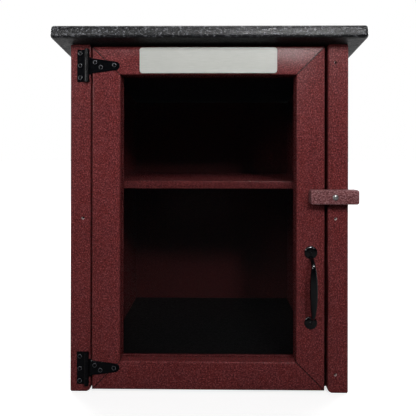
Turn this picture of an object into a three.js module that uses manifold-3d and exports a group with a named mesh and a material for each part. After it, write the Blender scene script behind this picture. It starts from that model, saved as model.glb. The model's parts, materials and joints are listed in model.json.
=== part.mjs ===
// A street book exchange box: boards of recycled plastic, a sloping roof and one glazed door.
// Millimetres, +Z up. The front faces -Y, the base is at z = 0 and the middle at x = 0, y = 0.
import * as THREE from 'three';
import { mergeVertices } from 'three/addons/utils/BufferGeometryUtils.js';
import ManifoldModule from 'manifold-3d';

const wasm = await ManifoldModule();
wasm.setup();

// Clearances and cutting
const FIT = 0.3; // between pieces that touch on the real box
const OVERRUN = 2; // how far a cutter reaches past what it cuts

// Carcass
const BODY_WIDTH = 492.6; // over the front strips
const BODY_DEPTH = 406; // from the front faces to the back of the back wall
const FRONT_HEIGHT = 617.3; // the roof's underside above the front faces
const BOARD = 19; // thickness of all boards except the shelf
const BOARD_EASE = 2.6; // rounding of the boards' long edges
const WALL_INSET = 13.7; // side walls stand in from the strips' outer edges
const WALL_EASE = 1.2;
const STRIP_WIDTH = 36;
const STRIP_CORNER_EXTRA = 0.6; // its corners' radius is this much over the boards' rounding
const STRIP_INNER_CORNER_EXTRA = 5.4; // the same at the foot, next to the door
const FLOOR_SETBACK = 1; // the floor's front edge stops the door

// Shelf
const SHELF_TOP = 372.5;
const SHELF_THICKNESS = 14;
const SHELF_SETBACK = 30; // behind the front faces, clear of the pane's retainers

// Roof
const ROOF_SLOPE = THREE.MathUtils.degToRad(6.5);
const ROOF_THICKNESS = 22;
const ROOF_EDGE = 5; // rounding of the long edges
const ROOF_CORNER_EXTRA = 2.5; // the corners' radius is this much over the edges' rounding
const ROOF_FRONT_OVERHANG = 27;
const ROOF_SIDE_OVERHANG = 26.4;
const ROOF_BACK_OVERHANG = 25;

// Door
const DOOR_HINGE_GAP = 2.6;
const DOOR_LATCH_GAP = 5.6;
const DOOR_TOP_GAP = 4.6;
const DOOR_BOTTOM_GAP = 4.1;
const MEMBER_WIDTH = 50;

// Window pane and its retainers
const PANE_THICKNESS = 3;
const PANE_LAP = 14; // over the frame's inner edge
const RETAINER_COVER = 5; // thickness over the pane's rim
const RETAINER_FOOT = 12; // width beside the pane
const RETAINER_EASE = 1;

// Plaque
const PLATE_END_MARGIN = 84.7; // from the door's outer edges
const PLATE_EDGE_MARGIN = 2.1; // from the top rail's edges
const PLATE_THICKNESS = 1.5;
const PLATE_CORNER = 5.3;
const PLATE_EASE = 0.4;

// T-hinges
const HINGE_FROM_TOP = 34.6; // strap centre from the door's top edge
const HINGE_FROM_BOTTOM = 39.3; // strap centre from the door's bottom edge
const HINGE_FROM_DOOR = 7.5; // pin axis from the door's edge
const LEAF_HEIGHT = 57;
const LEAF_REACH = 18.2; // from the pin axis to the leaf's outer edge
const LEAF_THICKNESS = 1.8;
const LEAF_EASE = 0.35;
const LEAF_SCREW_REACH = 12.4;
const LEAF_SCREW_SPACING = 21.4;
const BARREL_RADIUS = 4;
const PIN_RADIUS = 2;
const PIN_HEAD_RADIUS = 3;
const PIN_HEAD_HEIGHT = 1.3;
const STRAP_KNUCKLE = 30.2;
const STRAP_LENGTH = 57;
const STRAP_ROOT = 6.4; // full-height part next to the barrel
const STRAP_SHOULDER = 1.6; // width of the step from the root to the taper
const STRAP_TAPER_HEIGHT = 26;
const STRAP_END_RADIUS = 7.5;
const STRAP_SCREWS = [
  { at: 'root', reach: 13.9, rise: 5.6 },
  { at: 'middle', reach: 24.1, rise: -3 },
  { at: 'tip', reach: 47.9, rise: 0.8 },
];

// Pull handle
const HANDLE_HEIGHT = 186.9; // its middle above the base
const HANDLE_SPACING = 124; // between the two feet
const FOOT_RADIUS = 11.3;
const FOOT_THICKNESS = 3.4;
const FOOT_RIM = 1.4;
const NECK_SHIFT = 8; // the neck leaves the foot this far from its screw
const NECK_RISE = 14; // length of the curved neck along the handle
const GRIP_REACH = 20.2; // the grip's centre line in front of the door
const GRIP_HALF_WIDTH = 7;
const GRIP_HALF_DEPTH = 5.2;
const NECK_HALF_WIDTH = 3.4;
const NECK_HALF_DEPTH = 3.6;

// Turn button
const BUTTON_LENGTH = 83;
const BUTTON_HEIGHT = 25;
const BUTTON_THICKNESS = 18;
const BUTTON_EASE = 2;
const BUTTON_CORNER_EXTRA = 2; // its corners' radius is this much over the edges' rounding
const BUTTON_PIVOT_IN = 6.8; // from the right strip's inner edge
const BUTTON_PIVOT_HEIGHT = 347.8;
const BUTTON_GAP = 0.6;

// Screws: radii of head and shank, height of the head and length of the shank
const HINGE_SCREW = { head: 4.4, rise: 1.6, shank: 1.8, length: 14 };
const HANDLE_SCREW = { head: 3.2, rise: 1.4, shank: 1.8, length: 16 };
const PIVOT_SCREW = { head: 4.9, rise: 2.6, shank: 2.4, length: 33 };
const STRIP_SCREW = { head: 2.1, rise: 0.9, shank: 1.5, length: 44 };
const STRIP_SCREW_SINK = 3; // depth of the hole above its head
const STRIP_SCREW_FROM_END = 33.5;
const SHELF_SCREW = { head: 4.1, rise: 1.8, shank: 1.8, length: 42 };
const SHELF_SCREW_FROM_EDGE = 60;
const ROOF_SCREW = { head: 4.6, rise: 2, shank: 2.1, length: 50 };
const ROOF_SCREW_FROM_END = 45;

// Outlines as shares of the sizes they follow
const PAN_HEAD_SHARES = [[1, 0], [1, 0.35], [0.86, 0.72], [0.5, 1]];
const GRIP_SHARES = [0, 0.06, 0.3, 0.62, 0.88, 1]; // how far the neck has swelled into the grip
const GRIP_STATION_SHARES = [0, 0.13, 0.2, 0.28, 0.38, 0.5]; // where, along the handle

// Facets
const CORNER_STEPS = 3;
const EASE_STEPS = 2;
const SCREW_SIDES = 12;
const HOLE_SIDES = 10;
const BARREL_SIDES = 16;
const FOOT_SIDES = 28;
const GRIP_SIDES = 14;
const GRIP_STEPS = 34;
const END_STEPS = 10;

// Places worked out from the sizes above
const HALF = 1 / 2;
const QUARTER_TURN = Math.PI / 2;
const FULL_TURN = 2 * Math.PI;
const ROOF_FALL = Math.tan(ROOF_SLOPE);
const ROOF_SPAN = ROOF_FRONT_OVERHANG + BODY_DEPTH + ROOF_BACK_OVERHANG;
const FRONT_Y = ROOF_FRONT_OVERHANG - ROOF_SPAN * HALF;
const BACK_Y = FRONT_Y + BODY_DEPTH;
const SIDE_X = BODY_WIDTH * HALF;
const WALL_X = SIDE_X - WALL_INSET - BOARD * HALF; // middle of a side wall's thickness
const INNER_X = WALL_X - BOARD * HALF;
const BEHIND_STRIPS_Y = FRONT_Y + BOARD + FIT;
const BACK_WALL_Y = BACK_Y - BOARD;
const DOOR_LEFT = -SIDE_X + STRIP_WIDTH + DOOR_HINGE_GAP;
const DOOR_RIGHT = SIDE_X - STRIP_WIDTH - DOOR_LATCH_GAP;
const DOOR_TOP = FRONT_HEIGHT - DOOR_TOP_GAP;
const DOOR_BOTTOM = DOOR_BOTTOM_GAP;
const DOOR_WIDTH = DOOR_RIGHT - DOOR_LEFT;
const DOOR_HEIGHT = DOOR_TOP - DOOR_BOTTOM;
const DOOR_X = (DOOR_LEFT + DOOR_RIGHT) * HALF;
const DOOR_Z = (DOOR_TOP + DOOR_BOTTOM) * HALF;
const HINGE_X = DOOR_LEFT - HINGE_FROM_DOOR;
const HINGE_Y = FRONT_Y - FIT - BARREL_RADIUS;

// The roof's underside above a given y
function roofUnderside(y) {
  return FRONT_HEIGHT - (y - FRONT_Y) * ROOF_FALL;
}

// Materials
function finish(color, roughness, metalness = 0) {
  return new THREE.MeshStandardMaterial({ color, roughness, metalness });
}

const maroonBoard = () => finish(0x6b3537, 0.62);
const blackBoard = () => finish(0x34353a, 0.6);
const clearPane = () => finish(0xdfe7e6, 0.08);
const paleSheet = () => finish(0xd3d3ce, 0.4);
const blackSteel = () => finish(0x16171b, 0.42, 0.6);
const blackEnamel = () => finish(0x0c0c0f, 0.18, 0.3);
const brightSteel = () => finish(0xb9babb, 0.3, 0.9);

// A geometry with only positions, shared between its faces. What a boolean made is so already.
function closed(geometry) {
  if (geometry.index && !geometry.attributes.normal) {
    return geometry;
  }
  const bare = geometry.clone();
  bare.deleteAttribute('normal');
  bare.deleteAttribute('uv');
  return mergeVertices(bare);
}

function solid(geometry) {
  const merged = closed(geometry);
  return new wasm.Manifold(new wasm.Mesh({
    numProp: 3,
    vertProperties: merged.attributes.position.array,
    triVerts: new Uint32Array(merged.index.array),
  }));
}

function geometryOf(body) {
  const mesh = body.getMesh();
  const geometry = new THREE.BufferGeometry();
  geometry.setAttribute('position', new THREE.BufferAttribute(mesh.vertProperties, 3));
  geometry.setIndex(new THREE.BufferAttribute(mesh.triVerts, 1));
  return geometry;
}

// One named piece in a group
function piece(group, name, geometry, material) {
  const mesh = new THREE.Mesh(geometry, material);
  mesh.name = name;
  group.add(mesh);
  return mesh;
}

// Cuts a tool, given in its own frame with a matrix to the box's frame, out of placed pieces
function cutFrom(pieces, tool, toolMatrix) {
  for (const target of pieces) {
    const matrix = target.matrixWorld.clone().invert().multiply(toolMatrix);
    const cutter = tool.clone().applyMatrix4(matrix);
    target.geometry = geometryOf(solid(target.geometry).subtract(solid(cutter)));
  }
}

// A rectangle about the origin with a radius for each corner, from the lower left one anticlockwise
function roundedRectangle(width, height, radii) {
  const [a, b, c, d] = radii;
  const x = width * HALF;
  const y = height * HALF;
  const shape = new THREE.Shape();
  shape.absarc(a - x, a - y, a, Math.PI, -QUARTER_TURN);
  shape.absarc(x - b, b - y, b, -QUARTER_TURN, 0);
  shape.absarc(x - c, y - c, c, 0, QUARTER_TURN);
  shape.absarc(d - x, y - d, d, QUARTER_TURN, Math.PI);
  return shape;
}

// A board with eased edges: the outline keeps its size, and z runs from 0 to the thickness
function easedBoard(shape, thickness, ease, cornerSteps = CORNER_STEPS, easeSteps = EASE_STEPS) {
  const geometry = new THREE.ExtrudeGeometry(shape, {
    depth: thickness - 2 * ease,
    curveSegments: cornerSteps,
    bevelEnabled: true,
    bevelThickness: ease,
    bevelSize: ease,
    bevelOffset: -ease,
    bevelSegments: easeSteps,
  });
  return geometry.translate(0, 0, ease);
}

// An outline drawn in x and z with its thickness along +y from 0
function facingFront(geometry, thickness) {
  return geometry.rotateX(QUARTER_TURN).translate(0, thickness, 0);
}

// Slopes everything above a board's middle like the roof. The board's own y runs back from yFront.
function slopeTop(geometry, yFront, middle) {
  const position = geometry.attributes.position;
  for (let i = 0; i < position.count; i += 1) {
    if (position.getZ(i) > middle) {
      const fall = roofUnderside(yFront) - roofUnderside(yFront + position.getY(i));
      position.setZ(i, position.getZ(i) - fall);
    }
  }
  return geometry;
}

// A cylinder along +y, from y = start to y = end
function rodAlongY(radius, start, end, sides) {
  const geometry = new THREE.CylinderGeometry(radius, radius, end - start, sides);
  return geometry.translate(0, (start + end) * HALF, 0);
}

// A screw with its head's seat at y = 0, its head towards -y and its shank along +y
function screwGeometry({ head, rise, shank, length }) {
  const profile = [new THREE.Vector2(0, length), new THREE.Vector2(shank, length - shank)];
  profile.push(new THREE.Vector2(shank, 0));
  for (const [across, up] of PAN_HEAD_SHARES) {
    profile.push(new THREE.Vector2(head * across, -rise * up));
  }
  profile.push(new THREE.Vector2(0, -rise));
  return new THREE.LatheGeometry(profile.reverse(), SCREW_SIDES);
}

// Puts a screw into a group and its hole into the pieces it goes through
function fasten(group, name, screw, material, place, pieces, turn = new THREE.Euler()) {
  const mesh = piece(group, name, screwGeometry(screw), material);
  mesh.position.copy(place);
  mesh.rotation.copy(turn);
  box.updateMatrixWorld(true);
  const hole = rodAlongY(screw.shank + FIT, -OVERRUN, screw.length + FIT, HOLE_SIDES);
  cutFrom(pieces, hole, mesh.matrixWorld);
  return mesh;
}

// A member of a mitred frame. Its profile's x runs inward from the outer edge and its y to the back.
// The member lies along z about the origin, and both ends are cut back by as much as they lie inward.
function mitredMember(profile, length) {
  const geometry = new THREE.ExtrudeGeometry(profile, { depth: length, bevelEnabled: false });
  geometry.translate(0, 0, -length * HALF);
  const position = geometry.attributes.position;
  for (let i = 0; i < position.count; i += 1) {
    const z = position.getZ(i);
    position.setZ(i, z - Math.sign(z) * (position.getX(i) + FIT * HALF));
  }
  return geometry;
}

// Four mitred members round a rectangle: left, top, right and bottom
function mitredFrame(group, names, profile, { x, y, z, width, height }, material) {
  return names.map((name, i) => {
    const upright = i % 2 === 0;
    const length = upright ? height : width;
    const outward = (upright ? width : height) * HALF;
    const member = piece(group, name, mitredMember(profile, length), material());
    member.rotation.y = i * QUARTER_TURN;
    member.position.set(-outward * Math.cos(i * QUARTER_TURN), 0, outward * Math.sin(i * QUARTER_TURN));
    member.position.add(new THREE.Vector3(x, y, z));
    return member;
  });
}

const box = new THREE.Group();
box.name = 'book_exchange_box';

// Walls, floor and shelf
function makeWall(name, side) {
  const depth = BACK_WALL_Y - FIT - BEHIND_STRIPS_Y;
  const outline = new THREE.Shape();
  outline.moveTo(0, 0);
  outline.lineTo(depth, 0);
  outline.lineTo(depth, roofUnderside(BEHIND_STRIPS_Y + depth) - FIT);
  outline.lineTo(0, roofUnderside(BEHIND_STRIPS_Y) - FIT);
  const geometry = easedBoard(outline, BOARD, WALL_EASE);
  const axes = [new THREE.Vector3(0, 1, 0), new THREE.Vector3(0, 0, 1), new THREE.Vector3(1, 0, 0)];
  geometry.applyMatrix4(new THREE.Matrix4().makeBasis(...axes));
  geometry.translate(-BOARD * HALF, 0, 0);
  const wall = piece(box, name, geometry, maroonBoard());
  wall.position.set(side * WALL_X, BEHIND_STRIPS_Y, 0);
  return wall;
}

function makeBackWall() {
  const width = 2 * WALL_X + BOARD;
  const height = roofUnderside(BACK_WALL_Y) - FIT;
  const outline = roundedRectangle(width, height, Array(4).fill(BOARD_EASE));
  const geometry = facingFront(easedBoard(outline, BOARD, WALL_EASE), BOARD);
  geometry.translate(0, 0, height * HALF);
  const wall = piece(box, 'back_wall', slopeTop(geometry, BACK_WALL_Y, height * HALF), maroonBoard());
  wall.position.set(0, BACK_WALL_Y, 0);
  return wall;
}

function makeLevelBoard(name, setback, bottom, thickness, material) {
  const front = FRONT_Y + setback;
  const depth = BACK_WALL_Y - FIT - front;
  const outline = roundedRectangle(2 * (INNER_X - FIT), depth, Array(4).fill(BOARD_EASE));
  const board = piece(box, name, easedBoard(outline, thickness, WALL_EASE), material);
  board.position.set(0, front + depth * HALF, bottom);
  return board;
}

// Front strips
function makeStrip(name, side) {
  const height = FRONT_HEIGHT - FIT;
  const corners = Array(4).fill(BOARD_EASE + STRIP_CORNER_EXTRA);
  corners[side < 0 ? 1 : 0] = BOARD_EASE + STRIP_INNER_CORNER_EXTRA;
  const outline = roundedRectangle(STRIP_WIDTH, height, corners);
  const geometry = facingFront(easedBoard(outline, BOARD, BOARD_EASE), BOARD);
  geometry.translate(0, 0, height * HALF);
  const strip = piece(box, name, slopeTop(geometry, FRONT_Y, height * HALF), maroonBoard());
  strip.position.set(side * (SIDE_X - STRIP_WIDTH * HALF), FRONT_Y, 0);
  return strip;
}

function makeCarcass() {
  makeLevelBoard('floor_panel', BOARD + FLOOR_SETBACK, 0, BOARD, blackBoard());
  makeBackWall();
  const shelfBottom = SHELF_TOP - SHELF_THICKNESS;
  const shelf = makeLevelBoard('shelf', SHELF_SETBACK, shelfBottom, SHELF_THICKNESS, maroonBoard());
  const carcass = { shelf, sides: [] };
  for (const [word, side] of [['left', -1], ['right', 1]]) {
    const wall = makeWall(`${word}_side_wall`, side);
    const strip = makeStrip(`${word}_front_strip`, side);
    carcass.sides.push({ word, side, wall, strip });
  }
  return carcass;
}

function screwStrips({ sides }) {
  const heights = [STRIP_SCREW_FROM_END, FRONT_HEIGHT * HALF, FRONT_HEIGHT - STRIP_SCREW_FROM_END];
  const sunk = STRIP_SCREW_SINK + STRIP_SCREW.rise;
  const sink = rodAlongY(STRIP_SCREW.head + FIT, -sunk - OVERRUN, FIT, HOLE_SIDES);
  for (const { word, side, wall, strip } of sides) {
    ['lower', 'middle', 'upper'].forEach((level, i) => {
      const name = `${word}_strip_screw_${level}`;
      const seat = new THREE.Vector3(side * WALL_X, FRONT_Y + sunk, heights[i]);
      const screw = fasten(box, name, STRIP_SCREW, brightSteel(), seat, [strip, wall]);
      cutFrom([strip], sink, screw.matrixWorld);
    });
  }
}

function screwShelf({ sides, shelf }) {
  const z = SHELF_TOP - SHELF_THICKNESS * HALF;
  const front = FRONT_Y + SHELF_SETBACK + SHELF_SCREW_FROM_EDGE;
  const back = BACK_WALL_Y - SHELF_SCREW_FROM_EDGE;
  for (const { word, side, wall } of sides) {
    const turn = new THREE.Euler(0, 0, side * QUARTER_TURN);
    for (const [end, y] of [['front', front], ['back', back]]) {
      const seat = new THREE.Vector3(side * (WALL_X + BOARD * HALF + FIT), y, z);
      fasten(box, `${word}_shelf_screw_${end}`, SHELF_SCREW, brightSteel(), seat, [wall, shelf], turn);
    }
  }
}

// Roof: the board and its screws lie in a group tilted to the slope
function makeRoof({ sides }) {
  const length = (ROOF_SPAN - ROOF_THICKNESS * Math.sin(ROOF_SLOPE)) / Math.cos(ROOF_SLOPE);
  const width = BODY_WIDTH + 2 * ROOF_SIDE_OVERHANG;
  const roof = new THREE.Group();
  roof.rotation.x = -ROOF_SLOPE;
  roof.position.z = roofUnderside(0) + ROOF_THICKNESS * HALF / Math.cos(ROOF_SLOPE);
  box.add(roof);
  const outline = roundedRectangle(width, length, Array(4).fill(ROOF_EDGE + ROOF_CORNER_EXTRA));
  const geometry = easedBoard(outline, ROOF_THICKNESS, ROOF_EDGE, 2 * CORNER_STEPS, CORNER_STEPS);
  geometry.translate(0, 0, -ROOF_THICKNESS * HALF);
  const slab = piece(roof, 'roof_board', geometry, blackBoard());
  const front = (BEHIND_STRIPS_Y + ROOF_SCREW_FROM_END) / Math.cos(ROOF_SLOPE);
  const back = (BACK_WALL_Y - ROOF_SCREW_FROM_END) / Math.cos(ROOF_SLOPE);
  const down = new THREE.Euler(-QUARTER_TURN, 0, 0);
  for (const { word, side, wall } of sides) {
    for (const [end, y] of [['front', front], ['middle', (front + back) * HALF], ['back', back]]) {
      const seat = new THREE.Vector3(side * WALL_X, y, ROOF_THICKNESS * HALF + FIT);
      fasten(roof, `${word}_roof_screw_${end}`, ROOF_SCREW, blackSteel(), seat, [slab, wall], down);
    }
  }
  return slab;
}

// Door frame of four mitred boards with eased edges
function makeDoorFrame(door) {
  const section = roundedRectangle(MEMBER_WIDTH, BOARD, Array(4).fill(BOARD_EASE));
  const corner = new THREE.Vector2(MEMBER_WIDTH * HALF, BOARD * HALF);
  const profile = new THREE.Shape(section.getPoints(CORNER_STEPS).map((point) => point.add(corner)));
  const names = ['door_hinge_stile', 'door_top_rail', 'door_latch_stile', 'door_bottom_rail'];
  const place = { x: DOOR_X, y: FRONT_Y, z: DOOR_Z, width: DOOR_WIDTH, height: DOOR_HEIGHT };
  return mitredFrame(door, names, profile, place, maroonBoard);
}

// Pane behind the frame, held by four mitred retainers with a step for its rim
function makeWindow(door) {
  const width = DOOR_WIDTH - 2 * (MEMBER_WIDTH - PANE_LAP);
  const height = DOOR_HEIGHT - 2 * (MEMBER_WIDTH - PANE_LAP);
  const y = FRONT_Y + BOARD + FIT;
  const sheet = new THREE.BoxGeometry(width, PANE_THICKNESS, height);
  const pane = piece(door, 'window_pane', sheet, clearPane());
  pane.position.set(DOOR_X, y + PANE_THICKNESS * HALF, DOOR_Z);

  const step = RETAINER_FOOT;
  const cover = PANE_THICKNESS + FIT;
  const profile = new THREE.Shape();
  profile.moveTo(0, 0);
  profile.lineTo(step - FIT, 0);
  profile.lineTo(step - FIT, cover);
  profile.lineTo(step + PANE_LAP - RETAINER_EASE, cover);
  profile.lineTo(step + PANE_LAP, cover + RETAINER_EASE);
  profile.lineTo(step + PANE_LAP, cover + RETAINER_COVER - RETAINER_EASE);
  profile.lineTo(step + PANE_LAP - RETAINER_EASE, cover + RETAINER_COVER);
  profile.lineTo(RETAINER_EASE, cover + RETAINER_COVER);
  profile.lineTo(0, cover + RETAINER_COVER - RETAINER_EASE);
  const names = ['left', 'top', 'right', 'bottom'].map((word) => `pane_retainer_${word}`);
  const place = { x: DOOR_X, y, z: DOOR_Z, width: width + 2 * step, height: height + 2 * step };
  mitredFrame(door, names, profile, place, maroonBoard);
}

function makePlaque(door) {
  const width = DOOR_WIDTH - 2 * PLATE_END_MARGIN;
  const height = MEMBER_WIDTH - 2 * PLATE_EDGE_MARGIN;
  const outline = roundedRectangle(width, height, Array(4).fill(PLATE_CORNER));
  const sheet = easedBoard(outline, PLATE_THICKNESS, PLATE_EASE, 2 * CORNER_STEPS, 1);
  const plate = piece(door, 'name_plate', facingFront(sheet, PLATE_THICKNESS), paleSheet());
  plate.position.set(DOOR_X, FRONT_Y - FIT - PLATE_THICKNESS, DOOR_TOP - MEMBER_WIDTH * HALF);
}

// Barrel stretches along z about the pin axis, joined to a plate and bored for the pin
function withKnuckles(plate, stretches) {
  let body = solid(plate);
  for (const [low, high] of stretches) {
    const barrel = rodAlongY(BARREL_RADIUS, low, high, BARREL_SIDES).rotateX(QUARTER_TURN);
    body = body.add(solid(barrel));
  }
  const reach = LEAF_HEIGHT * HALF + OVERRUN;
  const bore = rodAlongY(PIN_RADIUS + FIT, -reach, reach, SCREW_SIDES).rotateX(QUARTER_TURN);
  return geometryOf(body.subtract(solid(bore)));
}

// A hinge plate lies against the face, level with the back of the barrel
function hingePlate(outline) {
  const plate = easedBoard(outline, LEAF_THICKNESS, LEAF_EASE, END_STEPS, 1);
  return facingFront(plate, LEAF_THICKNESS).translate(0, BARREL_RADIUS - LEAF_THICKNESS, 0);
}

function leafGeometry() {
  const half = LEAF_HEIGHT * HALF;
  const slot = STRAP_KNUCKLE * HALF + FIT;
  const slotX = -BARREL_RADIUS - FIT;
  const outline = new THREE.Shape();
  outline.moveTo(-LEAF_REACH, -half);
  outline.lineTo(0, -half);
  outline.lineTo(0, -slot);
  outline.lineTo(slotX, -slot);
  outline.lineTo(slotX, slot);
  outline.lineTo(0, slot);
  outline.lineTo(0, half);
  outline.lineTo(-LEAF_REACH, half);
  return withKnuckles(hingePlate(outline), [[-half, -slot], [slot, half]]);
}

function strapGeometry() {
  const half = STRAP_KNUCKLE * HALF;
  const taperStart = STRAP_ROOT + STRAP_SHOULDER;
  const endX = STRAP_LENGTH - STRAP_END_RADIUS;
  // The taper's edge meets the round end where both have the same direction
  const run = endX - taperStart;
  const rise = STRAP_TAPER_HEIGHT * HALF;
  const lean = Math.asin(STRAP_END_RADIUS / Math.hypot(run, rise)) - Math.atan2(rise, run);
  const from = QUARTER_TURN + lean;
  const outline = new THREE.Shape();
  outline.moveTo(0, -half);
  outline.lineTo(STRAP_ROOT, -half);
  outline.lineTo(taperStart, -rise);
  outline.absarc(endX, 0, STRAP_END_RADIUS, -from, from);
  outline.lineTo(taperStart, rise);
  outline.lineTo(STRAP_ROOT, half);
  outline.lineTo(0, half);
  return withKnuckles(hingePlate(outline), [[-half, half]]);
}

function pinGeometry() {
  const half = LEAF_HEIGHT * HALF + FIT;
  const profile = [
    new THREE.Vector2(0, -half - PIN_HEAD_HEIGHT),
    new THREE.Vector2(PIN_HEAD_RADIUS * HALF, -half - PIN_HEAD_HEIGHT),
    new THREE.Vector2(PIN_HEAD_RADIUS, -half - PIN_HEAD_HEIGHT * HALF),
    new THREE.Vector2(PIN_HEAD_RADIUS, -half),
    new THREE.Vector2(PIN_RADIUS, -half),
  ];
  const upper = profile.map((p) => new THREE.Vector2(p.x, -p.y)).reverse();
  return new THREE.LatheGeometry([...profile, ...upper], SCREW_SIDES).rotateX(QUARTER_TURN);
}

function makeHinge(word, z, strip, members, door) {
  const place = new THREE.Vector3(HINGE_X, HINGE_Y, z);
  const leaf = piece(box, `${word}_hinge_leaf`, leafGeometry(), blackSteel());
  const strap = piece(door, `${word}_hinge_strap`, strapGeometry(), blackSteel());
  const pin = piece(box, `${word}_hinge_pin`, pinGeometry(), blackSteel());
  for (const part of [leaf, strap, pin]) {
    part.position.copy(place);
  }
  box.updateMatrixWorld(true);
  const seatY = FRONT_Y - FIT - LEAF_THICKNESS - FIT;
  ['lower', 'middle', 'upper'].forEach((level, i) => {
    const seat = new THREE.Vector3(HINGE_X - LEAF_SCREW_REACH, seatY, z + (i - 1) * LEAF_SCREW_SPACING);
    fasten(box, `${word}_leaf_screw_${level}`, HINGE_SCREW, blackSteel(), seat, [leaf, strip]);
  });
  for (const { at, reach, rise } of STRAP_SCREWS) {
    const seat = new THREE.Vector3(HINGE_X + reach, seatY, z + rise);
    fasten(door, `${word}_strap_screw_${at}`, HINGE_SCREW, blackSteel(), seat, [strap, ...members]);
  }
}

// Pull handle: two round feet joined by a loft that swells from a thin neck into the grip
function gripGeometry() {
  const foot = HANDLE_SPACING * HALF - NECK_SHIFT;
  const bend = foot - NECK_RISE;
  const half = [
    new THREE.Vector3(0, -FOOT_THICKNESS * HALF, foot),
    new THREE.Vector3(0, -GRIP_REACH * HALF, foot - NECK_RISE * HALF * HALF),
    new THREE.Vector3(0, -GRIP_REACH + GRIP_HALF_DEPTH * HALF, bend + NECK_RISE * HALF * HALF),
    new THREE.Vector3(0, -GRIP_REACH, bend - NECK_RISE * HALF),
  ];
  const mirrored = half.map((p) => new THREE.Vector3(p.x, p.y, -p.z)).reverse();
  const route = new THREE.CatmullRomCurve3([...half, ...mirrored]);
  const swell = new THREE.SplineCurve(
    GRIP_SHARES.map((share, i) => new THREE.Vector2(GRIP_STATION_SHARES[i], share)),
  );
  const positions = [];
  for (let i = 0; i <= GRIP_STEPS; i += 1) {
    const along = i / GRIP_STEPS;
    const share = swellAt(swell, Math.min(along, 1 - along));
    const width = NECK_HALF_WIDTH + (GRIP_HALF_WIDTH - NECK_HALF_WIDTH) * share;
    const depth = NECK_HALF_DEPTH + (GRIP_HALF_DEPTH - NECK_HALF_DEPTH) * share;
    const centre = route.getPointAt(along);
    const across = new THREE.Vector3(1, 0, 0);
    const outward = new THREE.Vector3().crossVectors(across, route.getTangentAt(along));
    for (let j = 0; j < GRIP_SIDES; j += 1) {
      const angle = FULL_TURN * j / GRIP_SIDES;
      const point = centre.clone();
      point.addScaledVector(across, width * Math.cos(angle));
      point.addScaledVector(outward, depth * Math.sin(angle));
      positions.push(...point.toArray());
    }
  }
  return tubeOfRings(positions, GRIP_SIDES);
}

// The height of a curve of shares above a given place on it
function swellAt(curve, place) {
  const points = curve.getPoints(GRIP_STEPS);
  const next = Math.max(1, points.findIndex((p) => p.x >= place));
  const a = points[next - 1];
  const b = points[next];
  return THREE.MathUtils.mapLinear(place, a.x, b.x, a.y, b.y);
}

// Joins rings of points into a closed tube with flat ends
function tubeOfRings(positions, sides) {
  const rings = positions.length / 3 / sides;
  const index = [];
  for (let i = 0; i < rings - 1; i += 1) {
    for (let j = 0; j < sides; j += 1) {
      const a = i * sides + j;
      const b = i * sides + (j + 1) % sides;
      index.push(a, b + sides, b, a, a + sides, b + sides);
    }
  }
  const last = (rings - 1) * sides;
  for (let j = 1; j < sides - 1; j += 1) {
    index.push(0, j, j + 1, last, last + j + 1, last + j);
  }
  const geometry = new THREE.BufferGeometry();
  geometry.setAttribute('position', new THREE.Float32BufferAttribute(positions, 3));
  geometry.setIndex(index);
  return geometry;
}

function footGeometry() {
  const profile = [
    new THREE.Vector2(0, 0),
    new THREE.Vector2(FOOT_RADIUS, 0),
    new THREE.Vector2(FOOT_RADIUS, FOOT_RIM),
    new THREE.Vector2(FOOT_RADIUS - FOOT_RIM, FOOT_THICKNESS - FOOT_RIM * HALF),
    new THREE.Vector2(FOOT_RADIUS * HALF, FOOT_THICKNESS),
    new THREE.Vector2(0, FOOT_THICKNESS),
  ];
  return new THREE.LatheGeometry(profile, FOOT_SIDES).rotateX(2 * QUARTER_TURN);
}

function makeHandle(door, stile) {
  let body = solid(gripGeometry());
  for (const end of [-1, 1]) {
    body = body.add(solid(footGeometry().translate(0, 0, end * HANDLE_SPACING * HALF)));
  }
  const handle = piece(door, 'pull_handle', geometryOf(body), blackEnamel());
  const x = DOOR_RIGHT - MEMBER_WIDTH * HALF;
  handle.position.set(x, FRONT_Y - FIT, HANDLE_HEIGHT);
  box.updateMatrixWorld(true);
  for (const [word, end] of [['lower', -1], ['upper', 1]]) {
    const z = HANDLE_HEIGHT + end * HANDLE_SPACING * HALF;
    const seat = new THREE.Vector3(x, FRONT_Y - FIT - FOOT_THICKNESS - FIT, z);
    fasten(door, `handle_screw_${word}`, HANDLE_SCREW, blackSteel(), seat, [handle, stile]);
  }
}

// Turn button on the right strip, reaching over the door
function makeTurnButton(strip) {
  const corner = BUTTON_EASE + BUTTON_CORNER_EXTRA;
  const outline = roundedRectangle(BUTTON_LENGTH, BUTTON_HEIGHT, Array(4).fill(corner));
  const bar = facingFront(easedBoard(outline, BUTTON_THICKNESS, BUTTON_EASE), BUTTON_THICKNESS);
  const button = piece(box, 'turn_button', bar, maroonBoard());
  const x = SIDE_X - STRIP_WIDTH + BUTTON_PIVOT_IN;
  const front = FRONT_Y - BUTTON_GAP - BUTTON_THICKNESS;
  button.position.set(x, front, BUTTON_PIVOT_HEIGHT);
  const seat = new THREE.Vector3(x, front - FIT, BUTTON_PIVOT_HEIGHT);
  fasten(box, 'turn_button_screw', PIVOT_SCREW, brightSteel(), seat, [button, strip]);
}

// The door's group stands at the hinge axis, so turning it about z opens the door
function makeDoor({ sides }) {
  const door = new THREE.Group();
  box.add(door);
  const members = makeDoorFrame(door);
  const [, , latchStile] = members;
  const [left] = sides;
  makeWindow(door);
  makePlaque(door);
  makeHinge('upper', DOOR_TOP - HINGE_FROM_TOP, left.strip, members, door);
  makeHinge('lower', DOOR_BOTTOM + HINGE_FROM_BOTTOM, left.strip, members, door);
  makeHandle(door, latchStile);
  door.position.set(HINGE_X, HINGE_Y, 0);
  for (const part of door.children) {
    part.position.sub(door.position);
  }
  return door;
}

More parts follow.
